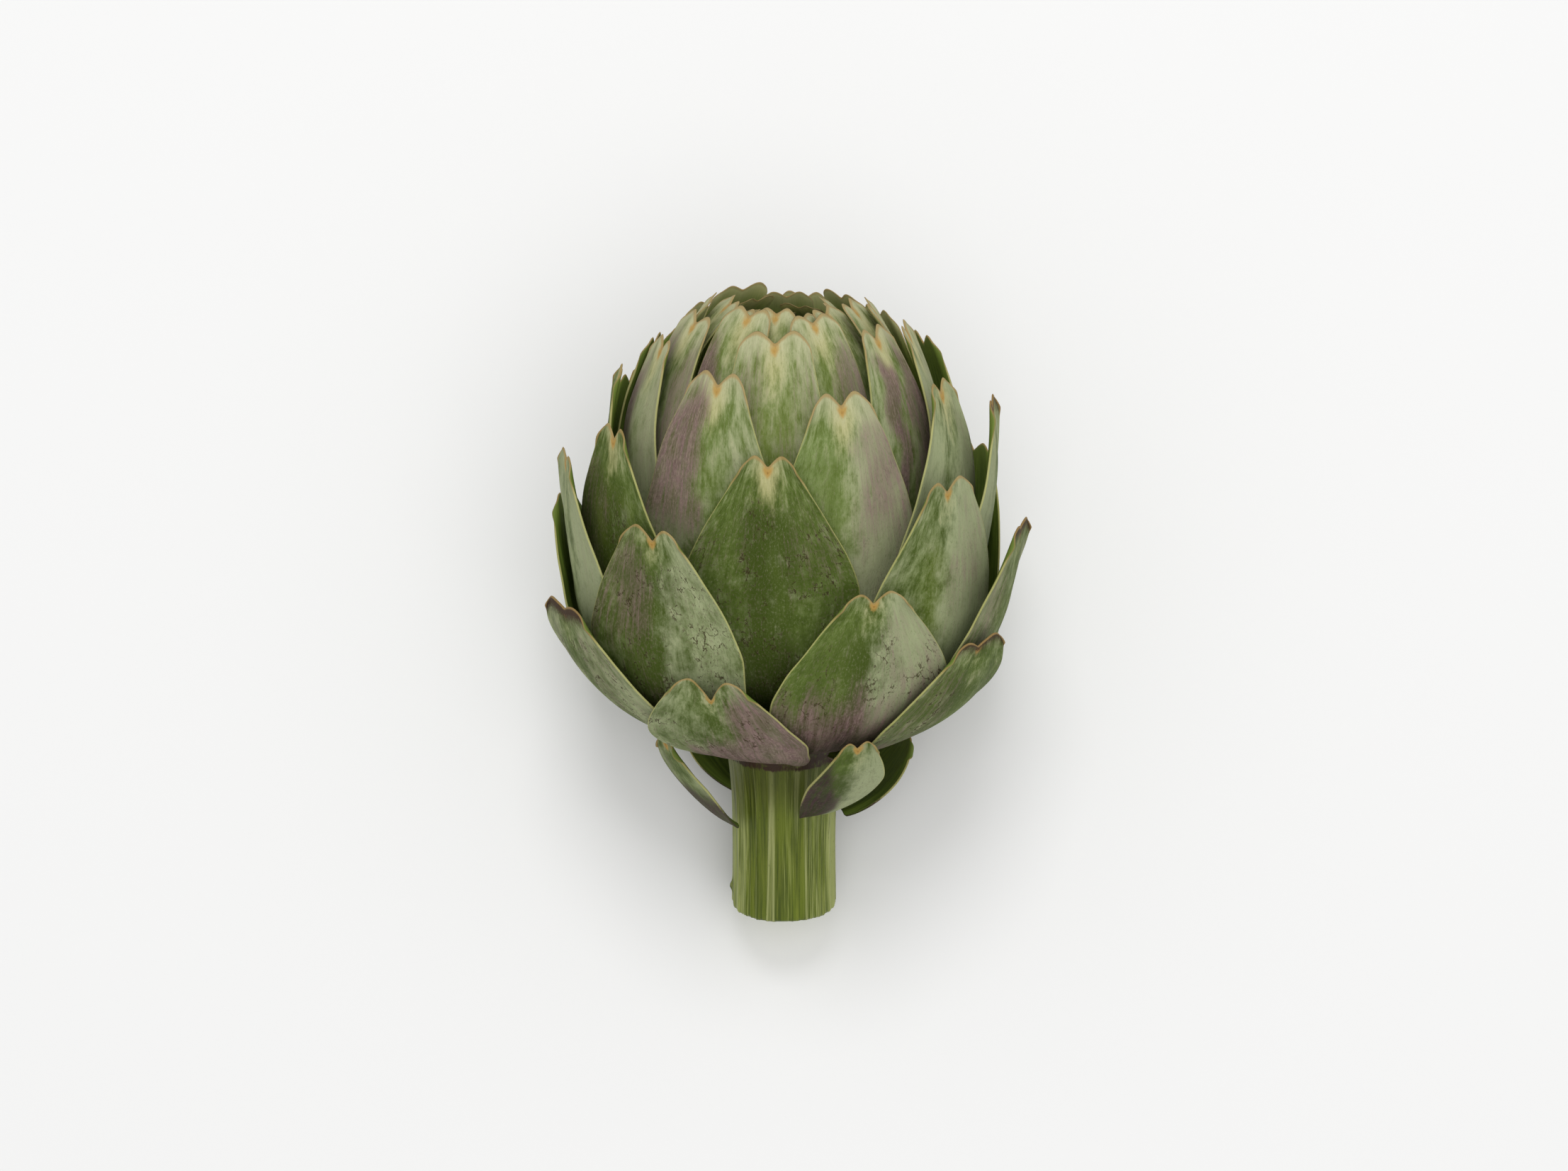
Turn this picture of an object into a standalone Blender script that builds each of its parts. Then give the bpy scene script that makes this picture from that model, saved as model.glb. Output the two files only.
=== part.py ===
"""Globe artichoke with a short cut stem, lying on its side.

The stem and the heart are one grown piece. The bracts sit on the heart like tiles, each
layer inside the one before it, and close over the bud in the middle. Lengths are in
millimetres, and METRE turns them into the scene's metres. World +Z is up and the crown
points along +Y, raised because the head rests on its belly and on the stem's cut edge.
"""

import math

import bmesh
import bpy
from mathutils import Matrix, Vector

METRE = 0.001

# The head, measured from a centre on the axis. Angles run from the stem (0) to the crown (180).
CENTRE_HEIGHT = 45.0
HEAD_OUTLINE = (
    (0, 45.5),
    (30, 50.0),
    (50, 52.0),
    (75, 49.5),
    (95, 47.2),
    (115, 49.0),
    (135, 53.6),
    (158, 57.8),
    (180, 58.2),
)

SIDE_SWELL = 4.5

# The layers of bracts, counted inwards, that have ended below each angle.
LAYERS_ENDED = (
    (0, 0),
    (60, 0),
    (80, 0),
    (97, 1.3),
    (115, 3.2),
    (130, 5.2),
    (145, 7.8),
    (158, 11.0),
    (170, 14.0),
    (180, 15.5),
)

# The heart and the stem: radius at each height along the axis, from the rim down.
HEART_TOP = 27.0
STEM_END = -41.0
STEM_RADIUS = 12.0
CORE_OUTLINE = (
    (STEM_END, STEM_RADIUS),
    (-22, 11.8),
    (-6, 12.6),
    (0, 14.0),
    (5, 17.5),
    (12, 21.5),
    (19, 22.5),
    (24.5, 19.5),
    (HEART_TOP, 15.0),
)
STEM_RIBS = 24
CORE_RINGS = 14
RIB_DEPTH = 0.45
CHOKE_RADIUS = 13.0
CHOKE_HEIGHT = 10.0
BUD_SLACK = 2.5
BUD_DIP = 3.0
ROUND_SEGMENTS = 20

# The bracts. Their roots start at BRACT_ROOT degrees or wherever they clear the heart.
LAYER_STEP = 1.75
BRACT_THICKNESS = 1.05
INNER_BRACT_THICKNESS = 0.8
INNER_RINGS = ("crown_bract", "heart_bract")
EDGE_THICKNESS = 0.5
GAP = 0.45
BRACT_ROOT = 19
ROOT_CLEARANCE = 0.75
MEAN_DISTANCE = 50.0
WIDEST_ANGLE = math.radians(60)
ACROSS = 6
ALONG = 8
ROOT_WIDTH = 0.28
WIDEST_AT = 0.58
CORNER_ROUND = 0.15
APEX_SHOULDER = 2.6
SHOULDER_FROM = 0.4
NOTCH_REACH = 0.34
STANDING_FROM = 0.4
STANDING_FULL = 1.1
THICK_UNTIL = 0.6
SIDE_TURN = 2

# How the head lies.
REST_TILT = math.radians(27)

# Each bract: azimuth in degrees from the top side, height of its tip along the axis,
# half its width, how far its tip stands off the head, and how deep its notch is.
RINGS = {
    "base_bract": (
        (-20, 29, 20.5, 0.5, 6.0),
        (58, 33, 21.5, 0.5, 2.2),
        (-67, 39, 21.5, 3.0, 1.6),
        (179, 36, 19.0, 0.0, 2.0),
        (120, 35, 19.0, 1.0, 2.0),
        (-121, 34, 19.0, 1.0, 2.0),
    ),
    "outer_bract": (
        (24, 48, 24.0, 0.5, 3.0),
        (77, 53, 22.0, 4.5, 1.3),
        (148, 50, 22.5, 0.0, 2.0),
        (-152, 52, 22.5, 0.0, 2.0),
        (-102, 54, 21.0, 2.0, 2.0),
        (-38, 60, 24.0, 0.3, 3.2),
        (116, 62, 22.0, 1.5, 2.0),
        (-79, 67, 21.5, 3.0, 1.8),
        (50, 68, 23.5, 1.6, 2.6),
        (178, 67, 22.5, 0.0, 2.0),
        (-134, 70, 21.5, 1.0, 2.0),
    ),
    "middle_bract": (
        (-5, 78, 27.5, 0.0, 2.2),
        (83, 77, 20.5, 5.0, 1.5),
        (-60, 77.5, 23.5, 1.0, 2.4),
        (146, 78, 22.0, 1.0, 2.0),
        (-163, 81, 22.0, 0.5, 2.0),
        (-116, 81, 20.0, 1.0, 2.0),
        (64, 86, 22.0, 1.5, 2.0),
        (-88, 86.5, 19.0, 2.0, 2.0),
        (172, 87, 21.0, 0.5, 2.0),
    ),
    "upper_bract": (
        (21, 89.0, 26.0, 0.0, 2.2),
        (118, 88.5, 20.0, 1.0, 2.0),
        (-138, 89.5, 20.0, 0.5, 2.0),
        (-27, 92.4, 26.0, 0.0, 2.2),
        (-73, 95.2, 21.5, 0.5, 1.6),
        (56, 98.2, 22.0, 0.0, 2.0),
        (152, 90.5, 20.0, 0.0, 1.6),
        (84, 96.2, 19.0, 0.5, 1.6),
        (-170, 91.0, 19.0, 0.0, 1.6),
        (-110, 91.8, 18.5, 0.0, 1.6),
    ),
    "crown_bract": (
        (-5, 99.2, 22.0, 0.0, 2.0),
        (-67, 99.8, 20.0, 0.0, 1.6),
        (122, 97.0, 18.0, 0.0, 1.4),
        (-140, 96.5, 18.0, 0.0, 1.4),
        (94, 100.4, 16.5, 0.0, 1.4),
        (170, 96.8, 17.0, 0.0, 1.4),
        (-98, 101.2, 16.0, 0.0, 1.4),
        (26, 101.8, 17.5, 0.0, 1.4),
        (-31, 101.8, 17.0, 0.0, 1.4),
        (74, 101.6, 15.0, 0.0, 1.4),
    ),
    "heart_bract": (
        (-150, 100.6, 15.0, 0.0, 1.2),
        (132, 100.9, 15.0, 0.0, 1.2),
        (-80, 102.3, 13.0, 0.0, 1.2),
        (178, 101.2, 13.0, 0.0, 1.2),
        (55, 102.4, 11.0, 0.0, 1.2),
        (-10, 102.6, 10.5, 0.0, 1.0),
    ),
}

# The tips' widths, as a share of the widest.
TIP_WIDTHS = {
    "stem_bract": 0.45,
    "base_bract": 0.42,
    "outer_bract": 0.3,
    "middle_bract": 0.22,
    "upper_bract": 0.26,
    "crown_bract": 0.38,
    "heart_bract": 0.5,
}

# Each small bract on the stem: azimuth where it leaves the stem, azimuth of its tip, height
# where it leaves the stem, radius and height of its tip, half its width and its notch.
STEM_BRACTS = (
    (25, 22, -15, 43.0, 12.5, 9.5, 2.2),
    (-57, -61, -19, 30.5, 4.5, 9.0, 1.0),
    (105, 108, -20, 29.5, -3.0, 11.5, 1.0),
    (-138, -138, -17, 28.0, 0.0, 9.5, 1.0),
    (162, 162, -20, 26.0, -2.0, 9.0, 1.0),
)

BRACT_ROUGHNESS = 0.62
GREEN = (0.17, 0.22, 0.08)
PALE_GREEN = (0.26, 0.30, 0.11)
PURPLE_GREEN = (0.22, 0.20, 0.13)
STEM_GREEN = (0.24, 0.28, 0.09)
CHOKE_CREAM = (0.60, 0.52, 0.30)
RING_COLOURS = {
    "stem_bract": PURPLE_GREEN,
    "base_bract": GREEN,
    "outer_bract": GREEN,
    "middle_bract": GREEN,
    "upper_bract": PALE_GREEN,
    "crown_bract": PURPLE_GREEN,
    "heart_bract": PALE_GREEN,
}


def curve_value(points, x):
    """A smooth curve through the points (x, y), read at x."""
    last = len(points) - 1
    k = max(i for i in range(last) if i == 0 or points[i][0] <= x)

    def slope(i):
        low, high = max(i - 1, 0), min(i + 1, last)
        return (points[high][1] - points[low][1]) / (points[high][0] - points[low][0])

    (x0, y0), (x1, y1) = points[k], points[k + 1]
    t = min(max((x - x0) / (x1 - x0), 0), 1)
    rise = (x1 - x0) * ((t - 2 * t**2 + t**3) * slope(k) + (t**3 - t**2) * slope(k + 1))
    return y0 + (y1 - y0) * (3 * t**2 - 2 * t**3) + rise


def smooth_step(x, start, end):
    t = min(max((x - start) / (end - start), 0), 1)
    return t * t * (3 - 2 * t)


def head_distance(angle):
    """From the head's centre to its outside."""
    return curve_value(HEAD_OUTLINE, math.degrees(angle))


def side_swell(angle, azimuth):
    """How much farther out the loose bracts stand at the head's two sides."""
    degrees = math.degrees(angle)
    belt = smooth_step(degrees, 25, 75) * (1 - smooth_step(degrees, 85, 150))
    return SIDE_SWELL * belt * math.sin(azimuth) ** 4


def head_point(angle, distance):
    """(radius, height) of a point seen from the head's centre."""
    return distance * math.sin(angle), CENTRE_HEIGHT - distance * math.cos(angle)


def head_angle(height):
    """The angle at which the head's outside reaches a height."""
    low, high = 0.0, math.pi
    for _ in range(40):
        middle = (low + high) / 2
        if head_point(middle, head_distance(middle))[1] < height:
            low = middle
        else:
            high = middle
    return low


def core_radius(height):
    """The radius of the stem, the heart and the choke at a height."""
    if height <= HEART_TOP:
        return curve_value(CORE_OUTLINE, height)
    rise = (height - HEART_TOP) / CHOKE_HEIGHT
    return CHOKE_RADIUS * math.sqrt(max(1 - rise * rise, 0))


def bract_outline(share, tip_width):
    """Half the width along a bract, as a share of its widest. Its edges run straight to the tip."""
    if share < WIDEST_AT:
        return ROOT_WIDTH + (1 - ROOT_WIDTH) * math.sin(math.pi / 2 * share / WIDEST_AT)
    past = (share - WIDEST_AT) / (1 - WIDEST_AT)
    return 1 - (1 - tip_width) * (1 + CORNER_ROUND) * past**2 / (past + CORNER_ROUND)


def half_angle(half_width, tip_width, angle, share):
    """Half the azimuth that a bract covers, part of the way along it."""
    radius = head_point(angle, head_distance(angle))[0]
    wanted = half_width * bract_outline(share, tip_width) / radius
    return WIDEST_ANGLE * math.tanh(wanted / WIDEST_ANGLE)


def turn_between(first, second):
    return abs((first - second + 180) % 360 - 180)


def overlapping(first, second):
    """True if two bracts cover the same part of the head at some height."""
    start = math.radians(BRACT_ROOT)
    ends = [head_angle(bract[1]) for bract in (first, second)]
    for k in range(13):
        angle = start + (min(ends) - start) * k / 12
        reach = sum(
            half_angle(bract[2], bract[5], angle, (angle - start) / (end - start))
            for bract, end in zip((first, second), ends)
        )
        if turn_between(first[0], second[0]) < math.degrees(reach) + SIDE_TURN:
            return True
    return False


def outermost_layer(angle):
    """The layer whose tips end at an angle, which is the one seen there."""
    return max(curve_value(LAYERS_ENDED, math.degrees(angle)), 0)


def layers_of(bracts):
    """Each bract's layer, counted inwards, at least one deeper than every bract it lies under."""
    layers = []
    for k, bract in enumerate(bracts):
        under = [layers[j] + 1 for j in range(k) if overlapping(bracts[j], bract)]
        layers.append(max(under + [outermost_layer(head_angle(bract[1]))]))
    return layers


def shell_distance(angle, layer):
    """From the head's centre to the outside of a layer."""
    return head_distance(angle) - LAYER_STEP * (layer - outermost_layer(angle))


def base_angle(layer):
    """The lowest angle at which a bract of this layer clears the heart."""
    angle = math.radians(BRACT_ROOT)
    while angle < math.radians(100):
        outer = shell_distance(angle, layer)
        sides = [head_point(angle, outer), head_point(angle, outer - BRACT_THICKNESS)]
        if all(radius > core_radius(height) + ROOT_CLEARANCE for radius, height in sides):
            return angle
        angle += math.radians(0.5)
    return angle


def axis_point(azimuth, radius, height):
    """A point around the artichoke's own axis, with azimuth 0 on the side that lies uppermost."""
    return Vector((radius * math.sin(azimuth), -radius * math.cos(azimuth), height))


def resting_turn():
    """Turns the upright artichoke down on its side and lifts the stem's cut edge to the floor."""
    turn = Matrix.Rotation(REST_TILT - math.pi / 2, 4, "X")
    lift = STEM_RADIUS * math.cos(REST_TILT) - STEM_END * math.sin(REST_TILT)
    return Matrix.Translation((0, 0, lift)) @ turn


def apex_share(across, share, notch, length):
    """How far along the bract a point is, with shoulders and a notch cut into its end."""
    shoulder = APEX_SHOULDER * max(abs(across) - SHOULDER_FROM, 0) / (1 - SHOULDER_FROM)
    dip = notch * max(1 - abs(across) / NOTCH_REACH, 0)
    return share * (1 - (shoulder + dip) / length * share**5)


def head_bract_surface(bract, layer):
    """A function from (across, along) to a point on the outside of a bract on the head."""
    azimuth, tip_height, half_width, stand_off, notch, tip_width = bract
    start = base_angle(layer)
    end = head_angle(tip_height)
    length = MEAN_DISTANCE * (end - start)

    def point(across, share):
        along = apex_share(across, share, notch, length)
        angle = start + (end - start) * along
        turn = math.radians(azimuth) + across * half_angle(half_width, tip_width, angle, share)
        distance = shell_distance(angle, layer) + side_swell(angle, turn)
        distance += stand_off * smooth_step(share, STANDING_FROM, STANDING_FULL)
        radius, height = head_point(angle, distance)
        return axis_point(turn, radius, height), max(head_distance(angle) - distance, 0)

    return point


def stem_bract_surface(bract):
    """A function from (across, along) to a point on the outside of a bract on the stem."""
    stem_azimuth, tip_azimuth, start, tip_radius, tip_height, half_width, notch = bract
    tip_width = TIP_WIDTHS["stem_bract"]
    side = STEM_RADIUS + BRACT_THICKNESS + 2 * GAP
    length = math.hypot(tip_radius - side, tip_height - start)

    def point(across, share):
        along = apex_share(across, share, notch, length)
        radius = side + (tip_radius - side) * (1 - (1 - along) ** 1.5)
        height = start + (tip_height - start) * along**1.15
        width = half_width * bract_outline(share, tip_width) / radius
        azimuth = stem_azimuth + (tip_azimuth - stem_azimuth) * share
        turn = math.radians(azimuth) + across * math.tanh(width)
        return axis_point(turn, radius, height), 0

    return point


def pressed(point, depth, rest):
    """The point as it lies, with the belly pressed flat where the floor is."""
    placed = rest @ point
    placed.z = max(placed.z, depth)
    return placed * METRE


def material_for(name, colour, roughness):
    material = bpy.data.materials.new(name)
    material.use_nodes = True
    shader = material.node_tree.nodes["Principled BSDF"]
    shader.inputs["Base Color"].default_value = (*colour, 1)
    shader.inputs["Roughness"].default_value = roughness
    shader.inputs["Metallic"].default_value = 0
    return material


def add_object(name, mesh_builder, material, collection):
    mesh = bpy.data.meshes.new(name)
    mesh_builder.to_mesh(mesh)
    mesh_builder.free()
    mesh.shade_smooth()
    mesh.materials.append(material)
    obj = bpy.data.objects.new(name, mesh)
    collection.objects.link(obj)
    return obj


def ring_thickness(ring):
    return INNER_BRACT_THICKNESS if ring in INNER_RINGS else BRACT_THICKNESS


def add_bract(name, surface, thickness, rest, material, collection):
    """A grid bent onto the bract's surface and thickened inwards, thinner at its edges."""
    shape = bmesh.new()
    bmesh.ops.create_grid(shape, x_segments=ACROSS, y_segments=ALONG, size=1)
    edge_layer = shape.verts.layers.deform.verify()
    for vert in shape.verts:
        across, share = vert.co.x, (vert.co.y + 1) / 2
        vert[edge_layer][0] = 1 - smooth_step(max(abs(across), share), THICK_UNTIL, 1)
        vert.co = pressed(*surface(across, share), rest)
    obj = add_object(name, shape, material, collection)
    obj.vertex_groups.new(name="thick")
    solidify = obj.modifiers.new("thickness", "SOLIDIFY")
    solidify.thickness = thickness * METRE
    solidify.offset = -1
    solidify.vertex_group = "thick"
    solidify.thickness_vertex_group = EDGE_THICKNESS / thickness
    return obj


def add_turned(name, outline, segments, rest, material, collection, rib_depth=None):
    """A closed turned solid from an outline of (radius, height) that starts and ends on the axis."""
    shape = bmesh.new()
    points = [shape.verts.new((radius, 0, height)) for radius, height in outline]
    edges = [shape.edges.new(pair) for pair in zip(points, points[1:])]
    bmesh.ops.spin(
        shape,
        geom=points + edges,
        axis=(0, 0, 1),
        angle=2 * math.pi,
        steps=segments,
        use_merge=True,
    )
    bmesh.ops.remove_doubles(shape, verts=shape.verts, dist=0.001)
    bmesh.ops.recalc_face_normals(shape, faces=shape.faces)
    for vert in shape.verts:
        if rib_depth and vert.co.xy.length > rib_depth(vert.co):
            vert.co.xy *= 1 - rib_depth(vert.co) / vert.co.xy.length
        vert.co = (rest @ vert.co) * METRE
    return add_object(name, shape, material, collection)


def stem_rib_depth(place):
    """How deep the groove between two ribs is at a point; the ribs fade out under the heart."""
    fade = 1 - smooth_step(place.z, -14, -2)
    turn = math.atan2(place.y, place.x)
    return RIB_DEPTH * fade * (1 - math.cos(STEM_RIBS * turn)) / 2


def add_stem_and_heart(rest, collection):
    heights = [STEM_END + k * (HEART_TOP - STEM_END) / CORE_RINGS for k in range(CORE_RINGS + 1)]
    outline = [(0, STEM_END)] + [(core_radius(h), h) for h in heights] + [(0, HEART_TOP)]
    skin = material_for("stem_skin", STEM_GREEN, 0.6)
    segments = 2 * STEM_RIBS
    add_turned("stem_and_heart", outline, segments, rest, skin, collection, stem_rib_depth)


def add_choke(rest, collection):
    """The low dome of fine hairs on the heart."""
    floor = HEART_TOP + GAP
    radius, rise = CHOKE_RADIUS - GAP, CHOKE_HEIGHT - 2 * GAP
    turns = [math.radians(degrees) for degrees in (0, 25, 50, 72)]
    dome = [(radius * math.cos(turn), floor + rise * math.sin(turn)) for turn in turns]
    outline = [(0, floor)] + dome + [(0, floor + rise)]
    hairs = material_for("choke_hairs", CHOKE_CREAM, 0.9)
    add_turned("choke", outline, ROUND_SEGMENTS, rest, hairs, collection)


def add_bud(layer, rest, collection):
    """The tightly rolled leaves in the middle, as one closed cone over the choke."""
    bottom = HEART_TOP + CHOKE_HEIGHT + 2
    sides = []
    for degrees in range(68, 176, 9):
        angle = math.radians(degrees)
        dip = BUD_DIP * smooth_step(degrees, 140, 176)
        sides.append(head_point(angle, shell_distance(angle, layer) - BUD_SLACK - dip))
    sides = [(radius, height) for radius, height in sides if height > bottom]
    start = (sides[0][0] - 1, bottom)
    outline = [(0, bottom), start] + sides + [(0, sides[-1][1] + 0.5)]
    leaves = material_for("bud_leaves", PALE_GREEN, 0.6)
    add_turned("inner_bud", outline, ROUND_SEGMENTS, rest, leaves, collection)


def add_head_bracts(rest, materials, collection):
    """Every bract on the head, from the lowest tip to the highest, and the deepest layer used."""
    named = [
        (f"{ring}_{k}", ring, (*bract, TIP_WIDTHS[ring]))
        for ring, bracts in RINGS.items()
        for k, bract in enumerate(bracts, 1)
    ]
    named.sort(key=lambda item: item[2][1])
    layers = layers_of([bract for _, _, bract in named])
    for (name, ring, bract), layer in zip(named, layers):
        surface = head_bract_surface(bract, layer)
        add_bract(name, surface, ring_thickness(ring), rest, materials[ring], collection)
    return max(layers)


def centre_over_origin(objects):
    """Moves every piece so that the origin lies on the floor, under the middle of the whole."""
    bpy.context.view_layer.update()
    graph = bpy.context.evaluated_depsgraph_get()
    corners = [Vector(corner) for obj in objects for corner in obj.evaluated_get(graph).bound_box]
    for axis in (0, 1):
        places = [corner[axis] for corner in corners]
        for obj in objects:
            obj.location[axis] = -(min(places) + max(places)) / 2


def main():
    for obj in list(bpy.data.objects):
        bpy.data.objects.remove(obj)
    artichoke = bpy.data.collections.new("artichoke")
    bpy.context.scene.collection.children.link(artichoke)
    materials = {
        ring: material_for(ring + "_skin", colour, BRACT_ROUGHNESS)
        for ring, colour in RING_COLOURS.items()
    }
    rest = resting_turn()
    add_stem_and_heart(rest, artichoke)
    add_choke(rest, artichoke)
    deepest = add_head_bracts(rest, materials, artichoke)
    for k, bract in enumerate(STEM_BRACTS, 1):
        name, surface = f"stem_bract_{k}", stem_bract_surface(bract)
        add_bract(name, surface, BRACT_THICKNESS, rest, materials["stem_bract"], artichoke)
    add_bud(deepest + 1, rest, artichoke)
    centre_over_origin(artichoke.objects)


main()
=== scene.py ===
"""Looks of the artichoke: fine bracts, ribbed stem, inner leaves, their materials, and the studio.

Each bract is a fine sheet on the same shell of the head as its plain solid in the frame.
Lengths are in millimetres until METRE turns them into the frame's metres.
"""

import math

import bmesh
import bpy
from mathutils import Matrix, Vector, noise


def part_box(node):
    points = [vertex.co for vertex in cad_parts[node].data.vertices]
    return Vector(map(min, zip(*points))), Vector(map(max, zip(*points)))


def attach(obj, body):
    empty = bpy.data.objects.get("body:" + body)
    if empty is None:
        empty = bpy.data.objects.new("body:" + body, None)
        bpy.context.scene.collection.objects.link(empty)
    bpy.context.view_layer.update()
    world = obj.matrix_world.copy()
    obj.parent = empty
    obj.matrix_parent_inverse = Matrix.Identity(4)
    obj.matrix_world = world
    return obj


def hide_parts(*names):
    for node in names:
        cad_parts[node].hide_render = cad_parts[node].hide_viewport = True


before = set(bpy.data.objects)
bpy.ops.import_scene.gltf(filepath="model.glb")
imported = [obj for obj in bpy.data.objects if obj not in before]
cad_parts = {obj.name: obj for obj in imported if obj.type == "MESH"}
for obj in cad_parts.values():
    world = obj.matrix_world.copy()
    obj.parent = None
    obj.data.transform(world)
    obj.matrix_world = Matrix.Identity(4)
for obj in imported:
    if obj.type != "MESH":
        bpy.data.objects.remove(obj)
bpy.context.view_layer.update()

METRE = 0.001
CENTIMETRE = 10

# The head, measured from a centre on the axis. Angles run from the stem (0) to the crown (180).
CENTRE_HEIGHT = 45.0
MEAN_DISTANCE = 50
HEAD_OUTLINE = (
    (0, 45.5),
    (30, 50.0),
    (50, 52.0),
    (75, 49.5),
    (95, 47.2),
    (115, 49.0),
    (135, 53.6),
    (158, 57.8),
    (180, 58.2),
)
SIDE_SWELL = 4.5
LAYERS_ENDED = (
    (0, 0),
    (60, 0),
    (80, 0),
    (97, 1.3),
    (115, 3.2),
    (130, 5.2),
    (145, 7.8),
    (158, 11.0),
    (170, 14.0),
    (180, 15.5),
)

# The heart and the stem: radius at each height along the axis. The choke is the dome on top.
HEART_TOP = 27.0
STEM_END = -41.0
STEM_RADIUS = 12.0
CORE_OUTLINE = (
    (STEM_END, STEM_RADIUS),
    (-22, 11.8),
    (-6, 12.6),
    (0, 14.0),
    (5, 17.5),
    (12, 21.5),
    (19, 22.5),
    (24.5, 19.5),
    (HEART_TOP, 15.0),
)
CHOKE_RADIUS = 13.0
CHOKE_HEIGHT = 10.0

# The fine stem: its segments round, its rows along, the radii of the rings of its cut end,
# and the fading ribs.
STEM_SEGMENTS = 336
STEM_ROWS = 90
CUT_RINGS = (0, 3, 6, 8, 9.5, 10.6, 11.3, 11.7)
CUT_BEVEL = 0.5
HEART_TOP_RING = 8
RIBBED_BEYOND = 8
RIB_DEPTH = 0.45
# A small nub on the stem's left side: its place, how far it stands out, and its extent.
NUB_TURN = math.radians(180)
NUB_HEIGHT = -36.5
NUB_SIZE = 0.9
NUB_TURN_REACH = 0.09
NUB_HEIGHT_REACH = 1.3

# The bracts' sheets: how far apart their layers lie, their thickness, their clearances, and
# the outline of each, as shares of its length and of half its width.
LAYER_STEP = 1.75
BRACT_THICKNESS = 1.05
INNER_BRACT_THICKNESS = 0.8
EDGE_THICKNESS = 0.5
GAP = 0.45
ROOT_GAP = 0.3
BRACT_ROOT = 19
WIDEST_ANGLE = math.radians(60)
ROOT_WIDTH = 0.28
WIDEST_AT = 0.58
CORNER_ROUND = 0.15
SHOULDER = 3.6
LOBE_AT = 0.46
COLUMNS = 30
ROWS = 40

# How far the axis lies from level.
REST_TILT = math.radians(27)

# Each bract: azimuth in degrees from the top side, height of its tip along the axis,
# half its width, how far its tip stands off the head, and how deep its notch is.
RINGS = {
    "base_bract": (
        (-20, 29, 20.5, 0.5, 6.0),
        (58, 33, 21.5, 0.5, 2.2),
        (-67, 39, 21.5, 3.0, 1.6),
        (179, 36, 19.0, 0.0, 2.0),
        (120, 35, 19.0, 1.0, 2.0),
        (-121, 34, 19.0, 1.0, 2.0),
    ),
    "outer_bract": (
        (24, 48, 24.0, 0.5, 3.0),
        (77, 53, 22.0, 4.5, 1.3),
        (148, 50, 22.5, 0.0, 2.0),
        (-152, 52, 22.5, 0.0, 2.0),
        (-102, 54, 21.0, 2.0, 2.0),
        (-38, 60, 24.0, 0.3, 3.2),
        (116, 62, 22.0, 1.5, 2.0),
        (-79, 67, 21.5, 3.0, 1.8),
        (50, 68, 23.5, 1.6, 2.6),
        (178, 67, 22.5, 0.0, 2.0),
        (-134, 70, 21.5, 1.0, 2.0),
    ),
    "middle_bract": (
        (-5, 78, 27.5, 0.0, 2.2),
        (83, 77, 20.5, 5.0, 1.5),
        (-60, 77.5, 23.5, 1.0, 2.4),
        (146, 78, 22.0, 1.0, 2.0),
        (-163, 81, 22.0, 0.5, 2.0),
        (-116, 81, 20.0, 1.0, 2.0),
        (64, 86, 22.0, 1.5, 2.0),
        (-88, 86.5, 19.0, 2.0, 2.0),
        (172, 87, 21.0, 0.5, 2.0),
    ),
    "upper_bract": (
        (21, 89.0, 26.0, 0.0, 2.2),
        (118, 88.5, 20.0, 1.0, 2.0),
        (-138, 89.5, 20.0, 0.5, 2.0),
        (-27, 92.4, 26.0, 0.0, 2.2),
        (-73, 95.2, 21.5, 0.5, 1.6),
        (56, 98.2, 22.0, 0.0, 2.0),
        (152, 90.5, 20.0, 0.0, 1.6),
        (84, 96.2, 19.0, 0.5, 1.6),
        (-170, 91.0, 19.0, 0.0, 1.6),
        (-110, 91.8, 18.5, 0.0, 1.6),
    ),
    "crown_bract": (
        (-5, 99.2, 22.0, 0.0, 2.0),
        (-67, 99.8, 20.0, 0.0, 1.6),
        (122, 97.0, 18.0, 0.0, 1.4),
        (-140, 96.5, 18.0, 0.0, 1.4),
        (94, 100.4, 16.5, 0.0, 1.4),
        (170, 96.8, 17.0, 0.0, 1.4),
        (-98, 101.2, 16.0, 0.0, 1.4),
        (26, 101.8, 17.5, 0.0, 1.4),
        (-31, 101.8, 17.0, 0.0, 1.4),
        (74, 101.6, 15.0, 0.0, 1.4),
    ),
    "heart_bract": (
        (-150, 100.6, 15.0, 0.0, 1.2),
        (132, 100.9, 15.0, 0.0, 1.2),
        (-80, 102.3, 13.0, 0.0, 1.2),
        (178, 101.2, 13.0, 0.0, 1.2),
        (55, 102.4, 11.0, 0.0, 1.2),
        (-10, 102.6, 10.5, 0.0, 1.0),
    ),
}

# The tips' widths, as a share of the widest.
TIP_WIDTHS = {
    "stem_bract": 0.45,
    "base_bract": 0.42,
    "outer_bract": 0.3,
    "middle_bract": 0.22,
    "upper_bract": 0.26,
    "crown_bract": 0.38,
    "heart_bract": 0.5,
}

# Each small bract on the stem: azimuth where it leaves the stem, azimuth of its tip, height
# where it leaves the stem, radius and height of its tip, half its width and its notch.
STEM_BRACTS = (
    (25, 22, -15, 43.0, 12.5, 9.5, 2.2),
    (-57, -61, -19, 30.5, 4.5, 9.0, 1.0),
    (105, 108, -20, 29.5, -3.0, 11.5, 1.0),
    (-138, -138, -17, 28.0, 0.0, 9.5, 1.0),
    (162, 162, -20, 26.0, -2.0, 9.0, 1.0),
)

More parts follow.
